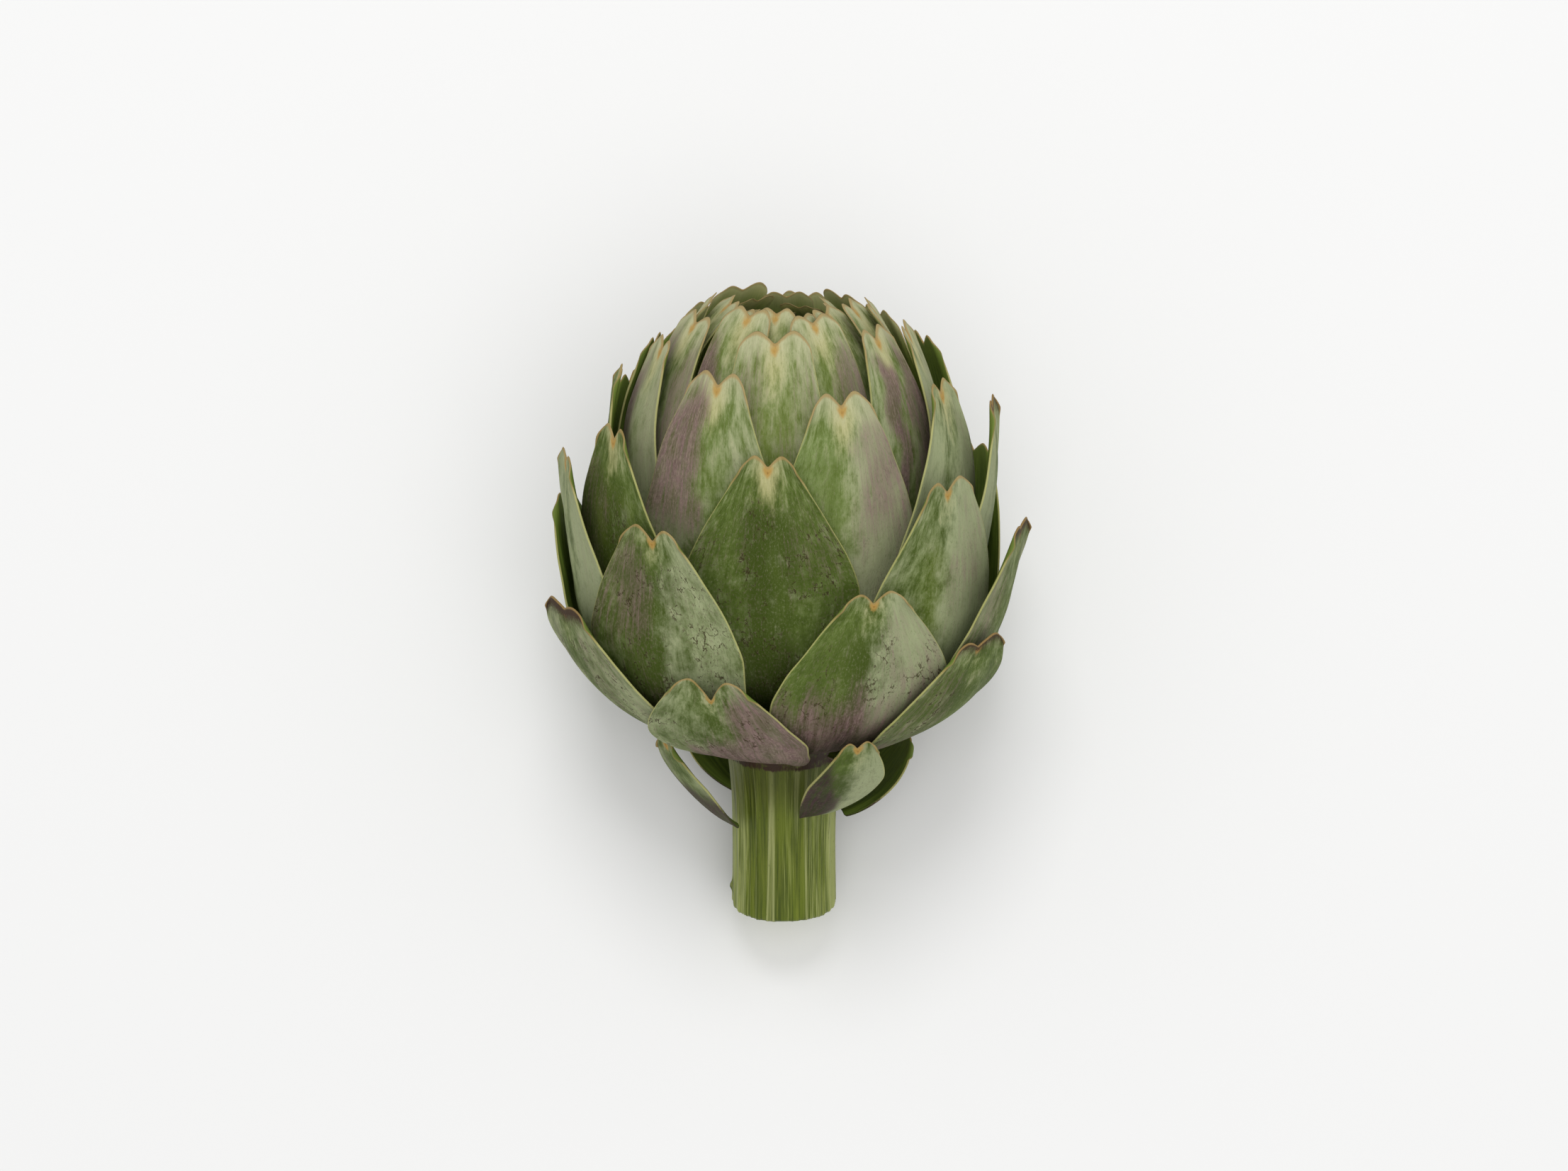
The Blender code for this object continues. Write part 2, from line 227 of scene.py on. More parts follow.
# The small leaves in the crown's opening, which lie deeper than every bract: how far apart
# their layers are, and for each its azimuth, the height of its tip and half its width.
BUD_LEAF_THICKNESS = 0.5
BUD_LEAF_NOTCH = 1.0
BUD_LEAF_TIP_WIDTH = 0.5
BUD_LAYER_START = 0.5
BUD_LAYER_STEP = 0.4
BUD_LEAVES = (
    (100, 102.6, 13.0),
    (-140, 102.65, 14.0),
    (-45, 102.75, 12.0),
    (28, 102.8, 12.0),
    (155, 102.8, 13.0),
    (-95, 102.9, 11.0),
    (65, 102.95, 10.0),
    (-170, 103.0, 10.0),
    (-20, 103.05, 9.0),
    (120, 103.1, 9.0),
    (-110, 103.13, 8.0),
    (20, 103.16, 8.0),
    (170, 103.18, 8.0),
)

# How a bract is coloured: flush is the purple on its left flank, its right flank and its
# foot, cream the pale wedge under the notch, bloom the waxy grey, bruise the brown flecks,
# tip the browned apex, glow the yellow green, deep the dark green. A lit of 1 keeps the
# bloom to its right side, and -1 to its left; this lighter side is painted light. The foot's
# purple ends at the share reach of the bract's length, and lean draws that line down on the
# right side, or up where it is negative. band is a strip of purple down the bract, at so
# many millimetres to the right of its middle.
PLAIN_LOOK = dict(
    left=0.3,
    right=0.3,
    foot=0.4,
    cream=0.6,
    bloom_and_side_light=0.4,
    bruise=0.3,
    tip=0.1,
    glow=0.3,
    deep=0.3,
    lit=0,
    reach=0.6,
    lean=0,
    band=0,
    at=0,
)
RING_LOOKS = {
    "stem_bract": dict(foot=1.2, cream=0.2, bloom_and_side_light=0.35, tip=0.15, glow=0.2, deep=0.4, reach=0.95),
    "base_bract": dict(foot=0.75, cream=0.3, bloom_and_side_light=0.4, bruise=0.5, deep=0.5),
    "outer_bract": dict(foot=0.5, cream=0.4, bloom_and_side_light=0.4, deep=0.5),
    "middle_bract": dict(left=0.25, right=0.25, foot=0.2, cream=0.7, bloom_and_side_light=0.35, deep=0.5),
    "upper_bract": dict(left=0.6, right=0.6, foot=0, cream=0.9, bloom_and_side_light=0.5, deep=0.2, glow=0.4),
    "crown_bract": dict(
        left=0.6, right=0.6, foot=0, cream=0.9, bloom_and_side_light=0.55, bruise=0.2, deep=0.1, glow=0.5
    ),
    "heart_bract": dict(
        left=0.5, right=0.5, foot=0, cream=0.7, bloom_and_side_light=0.5, bruise=0.2, deep=0.1, glow=0.5
    ),
}
BRACT_LOOKS = {
    "base_bract_1": dict(
        left=0.1, right=0.8, foot=1.2, bruise=0.8, bloom_and_side_light=0.5, deep=0.8, reach=0.8, lean=-0.35
    ),
    "base_bract_2": dict(
        left=0.3, right=0.1, foot=1.1, tip=0.7, bruise=0.9, bloom_and_side_light=0.25, deep=0.9
    ),
    "base_bract_3": dict(left=0.35, right=0.3, foot=0.6, tip=1.0, bruise=0.9, bloom_and_side_light=0.6),
    "outer_bract_1": dict(
        left=0.1, right=0.4, foot=1.1, bloom_and_side_light=0.6, bruise=0.7, deep=1.0, lit=0.9, reach=0.78
    ),
    "outer_bract_2": dict(left=0.4, tip=0.8, bloom_and_side_light=0.5, glow=0.5),
    "outer_bract_6": dict(
        left=0.5, right=0.1, foot=0.7, bruise=1.0, bloom_and_side_light=0.4, deep=0.9, lit=0.6
    ),
    "outer_bract_8": dict(
        left=0.1, right=0.2, foot=0.2, bloom_and_side_light=1.0, deep=0, glow=0.2, bruise=0.2
    ),
    "outer_bract_9": dict(
        left=0.05, right=0.4, foot=0.3, bloom_and_side_light=0.9, deep=0.3, glow=0.6, lit=0.6
    ),
    "middle_bract_1": dict(left=0.2, right=0.25, cream=0.9, bloom_and_side_light=0.15, bruise=1.0, deep=1.0),
    "middle_bract_2": dict(left=0.1, bloom_and_side_light=1.0, deep=0, tip=0.7),
    "middle_bract_3": dict(
        left=0.4, right=0, bloom_and_side_light=0.15, bruise=0.6, deep=0.9, glow=1.0, lit=0.5
    ),
    "middle_bract_7": dict(left=0.1, right=0.3, bloom_and_side_light=1.1, deep=0, glow=0.2),
    "upper_bract_1": dict(
        left=0.05, right=0.7, cream=1.0, bloom_and_side_light=0.6, glow=0.4, lit=0.9, deep=0.3
    ),
    "upper_bract_4": dict(left=1.0, right=0.15, cream=1.0, bloom_and_side_light=0.5, glow=0.3),
    "upper_bract_5": dict(left=0.8, right=0.3, bloom_and_side_light=1.1),
    "upper_bract_6": dict(
        left=0.05, right=1.0, cream=1.0, bloom_and_side_light=0.6, glow=0.3, band=1.2, at=-2.5
    ),
    "upper_bract_8": dict(left=0.1, right=0.3, bloom_and_side_light=1.1, deep=0),
    "crown_bract_1": dict(left=0.5, right=0.3, cream=1.0, bloom_and_side_light=0.5, glow=0.6, deep=0.3),
    "crown_bract_2": dict(left=0.8, right=0.6, cream=1.0, bloom_and_side_light=0.7, glow=0.2),
    "crown_bract_8": dict(left=0.05, right=0.7, cream=1.0),
    "crown_bract_9": dict(left=1.0, right=0.1, cream=1.0),
    "stem_bract_1": dict(
        left=0.2,
        right=0,
        foot=1.3,
        cream=0.3,
        tip=0.3,
        bloom_and_side_light=0.7,
        lit=0.9,
        deep=0.8,
        reach=0.6,
        lean=0.45,
    ),
    "stem_bract_2": dict(left=0.5, right=0.2, foot=1.3, bloom_and_side_light=0.6, deep=0.2, reach=0.75),
    "stem_bract_3": dict(foot=1.2, left=0.3, right=1.2, bloom_and_side_light=0.1, deep=0.7, reach=0.8),
}
MARKS = (
    "flush",
    "cream",
    "bloom_and_side_light",
    "bruise",
    "browned",
    "spot",
    "margin",
    "lobe",
    "glow",
    "deep",
)
STEM_MARKS = ("rib", "pale", "shade", "dark_band", "pith")

# The first seeds of the bracts on the stem and of the small leaves, where the head's bracts
# start at 0, and how far a seed moves the unevenness and the patterns of the skin.
STEM_BRACT_SEED = 70
BUD_LEAF_SEED = 80
SEED_STRIDE = 5.7
PATTERN_SHIFT = 7.3

# The rings with thinner bracts.
INNER_RINGS = ("crown_bract", "heart_bract")

# The colours of the bracts' outsides. Each skin has its main green and a shade of it, the
# deep green and the yellow green (glow), the cream of the wedge, the cap on the lobes and
# how far it spreads (pale), the two purples (flush), the waxy bloom, which on a bract's lit
# side is also painted light, and the edge's colour along the sides (rim) and round the lobes.
LOWER_SKIN = {
    "green": (0.135, 0.19, 0.042),
    "shade": (0.07, 0.105, 0.016),
    "bloom_and_side_light": (0.40, 0.44, 0.25),
    "deep": (0.05, 0.075, 0.010),
    "glow": (0.19, 0.25, 0.035),
    "cream": (0.56, 0.52, 0.25),
    "cap": (0.50, 0.50, 0.30),
    "pale": 0.4,
    "flush": (0.27, 0.17, 0.165),
    "dark_flush": (0.12, 0.055, 0.07),
    "rim": (0.44, 0.43, 0.16),
    "lobe": (0.36, 0.24, 0.09),
}
UPPER_SKIN = {
    **LOWER_SKIN,
    "green": (0.23, 0.30, 0.105),
    "shade": (0.12, 0.17, 0.035),
    "bloom_and_side_light": (0.42, 0.44, 0.26),
    "pale": 0.9,
}
CROWN_SKIN = {
    **LOWER_SKIN,
    "green": (0.26, 0.32, 0.11),
    "shade": (0.14, 0.19, 0.04),
    "bloom_and_side_light": (0.44, 0.45, 0.27),
    "pale": 1.0,
}
STEM_BRACT_SKIN = {
    **LOWER_SKIN,
    "flush": (0.06, 0.024, 0.034),
    "dark_flush": (0.018, 0.006, 0.010),
    "cap": (0.20, 0.19, 0.12),
}
FLECK = (0.05, 0.035, 0.015)
SCRATCH = (0.04, 0.025, 0.01)
SPOT_RING = (0.47, 0.28, 0.07)
SPOT_CORE = (0.22, 0.10, 0.02)
BROWNED_TIP = (0.06, 0.035, 0.018)

# The bracts' insides: the green, the deep green and the tip. The crown's insides are pale
# green made much paler still, most of all at the tip, as painted light where they lie in shade.
LOWER_INSIDE = ((0.15, 0.21, 0.035), (0.07, 0.11, 0.018), (0.15, 0.20, 0.04))
CROWN_INSIDE_WITH_PAINTED_LIGHT = ((0.34, 0.42, 0.10), (0.20, 0.27, 0.05), (0.62, 0.60, 0.33))
INNER_EDGE = (0.30, 0.22, 0.09)

# The stem's skin and its cut end, and the choke's hairs.
STEM_DARK = (0.055, 0.08, 0.005)
STEM_GREEN = (0.125, 0.165, 0.012)
STEM_STREAK = (0.21, 0.24, 0.03)
# The pale of the stem's streaks; towards its two sides it is a painted highlight.
STEM_PALE_AND_HIGHLIGHT = (0.40, 0.44, 0.15)
STEM_RIB = (0.42, 0.44, 0.18)
STEM_SPECK = (0.05, 0.045, 0.01)
# Painted shade on the stem just under the head.
STEM_PAINTED_SHADE = (0.085, 0.09, 0.018)
STEM_DARK_BAND = (0.05, 0.025, 0.012)
PITH = (0.55, 0.55, 0.33)
PITH_RING = (0.30, 0.36, 0.13)
CUT_RIND = (0.16, 0.20, 0.05)
CUT_SPOT = (0.25, 0.20, 0.08)
HAIR_DARK = (0.40, 0.33, 0.18)
HAIR_LIGHT = (0.65, 0.57, 0.35)

# The studio, in metres: the camera looks down steeply, and the lamps' places are counted
# from the middle of the head.
PAPER = (0.88, 0.88, 0.875)
FLOOR_REACH = 4
SKY_STRENGTH = 0.6
KEY_LAMP = dict(aside=-0.05, along=0.55, height=1.1, size=0.5, power=4.2)
OVERHEAD_LAMP = dict(aside=0.2, along=-0.35, height=1.5, size=1.4, power=7.0)
CAMERA_LENS = 101.7
CAMERA_SENSOR = 36
CAMERA_ELEVATION = math.radians(81)
CAMERA_DISTANCE = 1.0
CAMERA_AIM_ALONG = 0.00614
CAMERA_AIM_HEIGHT = 0.030


def curve_value(points, x):
    """A smooth curve through the points (x, y), read at x."""
    last = len(points) - 1
    k = max(i for i in range(last) if i == 0 or points[i][0] <= x)

    def slope(i):
        low, high = max(i - 1, 0), min(i + 1, last)
        return (points[high][1] - points[low][1]) / (points[high][0] - points[low][0])

    (x0, y0), (x1, y1) = points[k], points[k + 1]
    t = min(max((x - x0) / (x1 - x0), 0), 1)
    rise = (x1 - x0) * ((t - 2 * t**2 + t**3) * slope(k) + (t**3 - t**2) * slope(k + 1))
    return y0 + (y1 - y0) * (3 * t**2 - 2 * t**3) + rise


def smooth_step(x, start, end):
    """Rises smoothly from 0 at the start to 1 at the end."""
    t = min(max((x - start) / (end - start), 0), 1)
    return t * t * (3 - 2 * t)


def head_distance(angle):
    """From the head's centre to its outside."""
    return curve_value(HEAD_OUTLINE, math.degrees(angle))


def side_swell(angle, azimuth):
    """How much farther out the loose bracts stand at the head's two sides."""
    degrees = math.degrees(angle)
    belt = smooth_step(degrees, 25, 75) * (1 - smooth_step(degrees, 85, 150))
    return SIDE_SWELL * belt * math.sin(azimuth) ** 4


def head_point(angle, distance):
    """(radius, height) of a point seen from the head's centre."""
    return distance * math.sin(angle), CENTRE_HEIGHT - distance * math.cos(angle)


def head_angle(height):
    """The angle at which the head's outside reaches a height."""
    low, high = 0.0, math.pi
    for _ in range(40):
        middle = (low + high) / 2
        if head_point(middle, head_distance(middle))[1] < height:
            low = middle
        else:
            high = middle
    return low


def core_radius(height):
    """The radius of the stem, the heart and the choke at a height."""
    if height <= HEART_TOP:
        return curve_value(CORE_OUTLINE, height)
    rise = (height - HEART_TOP) / CHOKE_HEIGHT
    return CHOKE_RADIUS * math.sqrt(max(1 - rise * rise, 0))


def bract_outline(share, tip_width):
    """Half the width along a bract, as a share of its widest, with straight edges to the tip."""
    if share < WIDEST_AT:
        return ROOT_WIDTH + (1 - ROOT_WIDTH) * math.sin(math.pi / 2 * share / WIDEST_AT)
    past = (share - WIDEST_AT) / (1 - WIDEST_AT)
    return 1 - (1 - tip_width) * (1 + CORNER_ROUND) * past**2 / (past + CORNER_ROUND)


def half_angle(half_width, tip_width, angle, share):
    """Half the azimuth that a bract covers, part of the way along it."""
    radius = head_point(angle, head_distance(angle))[0]
    wanted = half_width * bract_outline(share, tip_width) / radius
    return WIDEST_ANGLE * math.tanh(wanted / WIDEST_ANGLE)


def turn_between(first, second):
    """The angle between two azimuths, in degrees."""
    return abs((first - second + 180) % 360 - 180)


def overlapping(first, second):
    """True if two bracts cover the same part of the head at some height."""
    start = math.radians(BRACT_ROOT)
    ends = [head_angle(bract[1]) for bract in (first, second)]
    for k in range(13):
        angle = start + (min(ends) - start) * k / 12
        reach = sum(
            half_angle(bract[2], bract[5], angle, (angle - start) / (end - start))
            for bract, end in zip((first, second), ends)
        )
        if turn_between(first[0], second[0]) < math.degrees(reach) + 2:
            return True
    return False


def outermost_layer(angle):
    """The layer whose tips end at an angle, which is the one seen there."""
    return max(curve_value(LAYERS_ENDED, math.degrees(angle)), 0)


def layers_of(bracts):
    """Each bract's layer, counted inwards, at least one deeper than every bract it lies under."""
    layers = []
    for k, bract in enumerate(bracts):
        under = [layers[j] + 1 for j in range(k) if overlapping(bracts[j], bract)]
        layers.append(max(under + [outermost_layer(head_angle(bract[1]))]))
    return layers


def shell_distance(angle, layer):
    """From the head's centre to the outside of a layer."""
    return head_distance(angle) - LAYER_STEP * (layer - outermost_layer(angle))


def base_angle(layer):
    """The lowest angle at which a bract of this layer clears the heart."""
    angle = math.radians(BRACT_ROOT)
    while angle < math.radians(100):
        outer = shell_distance(angle, layer)
        sides = [head_point(angle, outer), head_point(angle, outer - BRACT_THICKNESS)]
        if all(radius > core_radius(height) + GAP + ROOT_GAP for radius, height in sides):
            return angle
        angle += math.radians(0.5)
    return angle


def axis_point(azimuth, radius, height):
    """A point around the artichoke's own axis, with azimuth 0 on the side that lies uppermost."""
    return Vector((radius * math.sin(azimuth), -radius * math.cos(azimuth), height))


def resting_place():
    """Turns the upright artichoke down on its side, and moves it to where the frame has it."""
    turn = Matrix.Rotation(REST_TILT - math.pi / 2, 4, "X")
    lift = STEM_RADIUS * math.cos(REST_TILT) - STEM_END * math.sin(REST_TILT)
    low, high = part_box("stem_and_heart")
    stem_back = STEM_END * math.cos(REST_TILT) - STEM_RADIUS * math.sin(REST_TILT)
    side = (low.x + high.x) / 2 / METRE
    return Matrix.Translation((side, low.y / METRE - stem_back, lift)) @ turn


def wobble(x, y, seed):
    """Smooth unevenness from -1 to 1 that is different on every bract."""
    return noise.noise(Vector((x, y, seed * SEED_STRIDE)))


def apex_cut(across, notch):
    """How far the end is cut back at a place across it: two round lobes with a notch between."""
    side = abs(across)
    outer = SHOULDER * (max(side - LOBE_AT, 0) / (1 - LOBE_AT)) ** 2
    inner = notch * max(1 - side / LOBE_AT, 0) ** 1.5
    return outer + inner


def bract_relief(across, share, half_width, tip_width, length, seed):
    """How far the outside stands above its shell: the groove below the notch, lobes and swells."""
    aside = across * half_width * bract_outline(share, tip_width)
    below = (1 - share) * length
    groove = -0.45 * math.exp(-((aside / 2.2) ** 2)) * math.exp(-below / 12)
    lobes = 0.3 * math.exp(-below / 5) * math.exp(-(((abs(across) - LOBE_AT) / 0.4) ** 2))
    swell = 0.18 * wobble(aside / 9, below / 14, seed) + 0.07 * wobble(aside / 3, below / 9, seed)
    edge = 0.6 * smooth_step(abs(across), 0.7, 1) + 0.5 * math.exp(-below / 4)
    return groove + lobes + swell + edge - 0.45


def head_bract_surface(bract, layer, seed):
    """A function from (across, share) to a point of the outside of a bract on the head."""
    azimuth, tip_height, half_width, stand_off, notch, tip_width = bract
    start = base_angle(layer)
    end = head_angle(tip_height)
    length = MEAN_DISTANCE * (end - start)

    def point(across, share):
        cut = 0.35 + apex_cut(across, notch) + 0.25 * wobble(across * 2, share * 4, seed)
        along = share * (1 - cut / length * share**5)
        angle = start + (end - start) * along
        edge = 1 + 0.02 * wobble(math.copysign(3, across), share * 9, seed)
        turn = math.radians(azimuth)
        turn += across * edge * half_angle(half_width, tip_width, angle, share)
        distance = shell_distance(angle, layer) + side_swell(angle, turn)
        distance += stand_off * smooth_step(share, 0.4, 1.1)
        distance += bract_relief(across, share, half_width, tip_width, length, seed)
        radius, height = head_point(angle, distance)
        return axis_point(turn, radius, height), max(head_distance(angle) - distance, 0)

    return point, length


def stem_bract_surface(bract, seed):
    """A function from (across, share) to a point of the outside of a bract on the stem."""
    stem_azimuth, tip_azimuth, start, tip_radius, tip_height, half_width, notch = bract
    tip_width = TIP_WIDTHS["stem_bract"]
    side = STEM_RADIUS + BRACT_THICKNESS + 2 * GAP
    length = math.hypot(tip_radius - side, tip_height - start)

    def point(across, share):
        cut = apex_cut(across, notch) + 0.2 * wobble(across * 2, share * 4, seed)
        along = min(max(share * (1 - cut / length * share**5), 0), 1)
        radius = side + (tip_radius - side) * (1 - (1 - along) ** 1.5)
        height = start + (tip_height - start) * along**1.15
        width = half_width * bract_outline(share, tip_width) / radius
        azimuth = stem_azimuth + (tip_azimuth - stem_azimuth) * share
        turn = math.radians(azimuth) + across * math.tanh(width)
        radius += 0.5 * bract_relief(across, share, half_width, tip_width, length, seed)
        return axis_point(turn, radius, height), 0

    return point, length


def pressed(point, depth, rest):
    """The point as it lies, with the belly pressed flat where the floor is."""
    placed = rest @ point
    placed.z = max(placed.z, depth)
    return placed * METRE


def bract_marks(across, share, half_width, tip_width, length, look, seed):
    """How strongly each colour shows at a place on a bract, from 0 to 1."""
    half = half_width * bract_outline(share, tip_width)
    aside, rim, below = across * half, (1 - abs(across)) * half, (1 - share) * length
    uneven = 0.5 + 0.5 * wobble(aside / 7, below / 16, seed + 0.3)
    patch = 0.5 + 0.5 * wobble(aside / 5 + 9, below / 9, seed + 0.7)
    side = look["left"] if across < 0 else look["right"]
    drift = aside + 4 * wobble(below / 9, 4, seed + 0.5)
    flank = smooth_step(abs(drift) if drift * aside > 0 else 0, -1, 6)
    flank *= (0.4 + 0.6 * smooth_step(below, 1, 8)) * (1 - 0.7 * smooth_step(below, 22, 42))
    height = share + look["lean"] * across + 0.12 * wobble(aside / 4, 3, seed)
    foot = look["foot"] * (1 - smooth_step(height, look["reach"] - 0.45, look["reach"]))
    wedge = math.exp(-((aside / (2.6 + 0.14 * below)) ** 2)) * math.exp(-((below / 9) ** 2))
    middle = 1 - smooth_step(abs(aside), 2, 11)
    # The bloom grows towards a bract's lit side and fades on the other: painted light.
    lit = 1 + look["lit"] * math.tanh(aside / 3)
    spot = math.exp(-(((below - 1.2) / 1.7) ** 2) - (aside / 1.4) ** 2)
    margin = math.exp(-((rim / 0.45) ** 2)) * (0.3 + 0.7 * smooth_step(share, 0.2, 0.6))
    band = look["band"] * math.exp(-(((drift - look["at"]) / 3.5) ** 2))
    band *= smooth_step(below, 2, 8)
    open_skin = 0.6 + 0.4 * smooth_step(abs(aside), 2, 9)
    return {
        "flush": max(side * flank, foot, band) * (0.6 + 0.8 * uneven),
        "cream": look["cream"] * wedge,
        "bloom_and_side_light": look["bloom_and_side_light"] * lit * open_skin * (0.5 + patch),
        "bruise": look["bruise"] * smooth_step(uneven, 0.3, 0.6) * smooth_step(below, 3, 12),
        "browned": look["tip"] * math.exp(-below / 4),
        "spot": spot,
        "margin": margin + math.exp(-((below / 0.5) ** 2)),
        "lobe": math.exp(-below / 5),
        "glow": look["glow"] * smooth_step(below, 6, 20) * (0.3 + 0.7 * middle) * (0.3 + patch),
        "deep": look["deep"] * (0.35 + 0.65 * middle) * smooth_step(below, 4, 14) * (0.4 + uneven),
    }


def finish_mesh(name, shape, materials, body="root"):
    """Turns the built shape into a smooth piece that rides on the frame."""
    mesh = bpy.data.meshes.new(name)
    shape.to_mesh(mesh)
    shape.free()
    mesh.shade_smooth()
    for material in materials:
        mesh.materials.append(material)
    piece = bpy.data.objects.new(name, mesh)
    bpy.context.scene.collection.objects.link(piece)
    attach(piece, body)
    return piece


def add_bract(name, surface, length, widths, thickness, look, rest, materials, seed):
    """A fine sheet bent onto the bract's surface, thickened inwards and rounded at its edges."""
    half_width, tip_width = widths
    shape = bmesh.new()
    bmesh.ops.create_grid(shape, x_segments=COLUMNS, y_segments=ROWS, size=1)
    fibres = shape.loops.layers.uv.new("fibres")
    thick = shape.verts.layers.deform.verify()
    layers = {mark: shape.verts.layers.float.new(mark) for mark in MARKS}
    for vert in shape.verts:
        across = vert.co.x * (1.25 - 0.25 * vert.co.x**2)
        share = (vert.co.y + 1) / 2
        share = share * (1.3 - 0.3 * share)
        marks = bract_marks(across, share, half_width, tip_width, length, look, seed)
        for mark, value in marks.items():
            vert[layers[mark]] = min(value, 1)
        vert[thick][0] = 1 - smooth_step(max(abs(across), share), 0.6, 1)
        sideways = across * half_width / CENTIMETRE + seed * PATTERN_SHIFT
        for loop in vert.link_loops:
            loop[fibres].uv = (sideways, share * length / CENTIMETRE)
        vert.co = pressed(*surface(across, share), rest)
    piece = finish_mesh(name, shape, materials)
    piece.vertex_groups.new(name="thick")
    solidify = piece.modifiers.new("thickness", "SOLIDIFY")
    solidify.thickness = thickness * METRE
    solidify.offset = -1
    solidify.vertex_group = "thick"
    solidify.thickness_vertex_group = EDGE_THICKNESS / BRACT_THICKNESS
    solidify.material_offset = 1
    rounding = piece.modifiers.new("rounding", "SUBSURF")
    rounding.levels = 1
    rounding.render_levels = 1
    return piece


class Finish:
    """A material's node tree, and short calls that add nodes to it."""

    def __init__(self, name, roughness, shine=0.5):
        self.material = bpy.data.materials.new(name)
        self.material.use_nodes = True
        self.nodes = self.material.node_tree.nodes
        self.links = self.material.node_tree.links
        self.shader = self.nodes["Principled BSDF"]
        self.shader.inputs["Roughness"].default_value = roughness
        self.shader.inputs["Specular IOR Level"].default_value = shine

    def put(self, value, socket):
        if isinstance(value, bpy.types.NodeSocket):
            self.links.new(value, socket)
        elif isinstance(value, tuple):
            socket.default_value = (*value, 1) if len(value) == 3 else value
        else:
            socket.default_value = value

    def mark(self, name):
        node = self.nodes.new("ShaderNodeAttribute")
        node.attribute_name = name
        return node.outputs["Fac"]

    def along_fibres(self, stretch):
        """The piece's own sheet coordinates, in centimetres, scaled across and along."""
        uv = self.nodes.new("ShaderNodeUVMap")
        uv.uv_map = "fibres"
        mapping = self.nodes.new("ShaderNodeMapping")
        mapping.inputs["Scale"].default_value = (*stretch, 1)
        self.links.new(uv.outputs["UV"], mapping.inputs["Vector"])
        return mapping.outputs["Vector"]

    def place(self):
        return self.nodes.new("ShaderNodeTexCoord").outputs["Object"]

    def grain(self, vector, scale=1.0, detail=3.0, roughness=0.6):
        node = self.nodes.new("ShaderNodeTexNoise")
        node.inputs["Scale"].default_value = scale
        node.inputs["Detail"].default_value = detail
        node.inputs["Roughness"].default_value = roughness
        self.links.new(vector, node.inputs["Vector"])
        return node.outputs["Fac"]

    def math(self, operation, first, second=0.0):
        node = self.nodes.new("ShaderNodeMath")
        node.operation = operation
        self.put(first, node.inputs[0])
        self.put(second, node.inputs[1])
        return node.outputs["Value"]

    def step(self, value, start, end, low=0.0, high=1.0):
        node = self.nodes.new("ShaderNodeMapRange")
        node.interpolation_type = "SMOOTHSTEP"
        self.put(value, node.inputs["Value"])
        node.inputs["From Min"].default_value = start
        node.inputs["From Max"].default_value = end
        node.inputs["To Min"].default_value = low
        node.inputs["To Max"].default_value = high
        return node.outputs["Result"]

    def mix(self, amount, first, second):
        node = self.nodes.new("ShaderNodeMix")
        node.data_type = "RGBA"
        self.put(amount, node.inputs["Factor"])
        self.put(first, node.inputs["A"])
        self.put(second, node.inputs["B"])
        return node.outputs["Result"]

    def colour(self, socket):
        self.links.new(socket, self.shader.inputs["Base Color"])

    def roughen(self, socket):
        self.links.new(socket, self.shader.inputs["Roughness"])

    def bump(self, height, strength, distance):
        node = self.nodes.new("ShaderNodeBump")
        node.inputs["Strength"].default_value = strength
        node.inputs["Distance"].default_value = distance
        self.links.new(height, node.inputs["Height"])
        self.links.new(node.outputs["Normal"], self.shader.inputs["Normal"])


def masked(finish, mark, uneven, spread, start=0.35, end=0.75):
    """A mark broken up by an uneven pattern, so that its edge follows the fibres."""
    shaken = finish.math("SUBTRACT", uneven, 0.5)
    shaken = finish.math("MULTIPLY", shaken, spread)
    return finish.step(finish.math("ADD", mark, shaken), start, end)


def scaled(finish, amount, share):
    """A socket's value times a number or another socket."""
    return finish.math("MULTIPLY", amount, share)


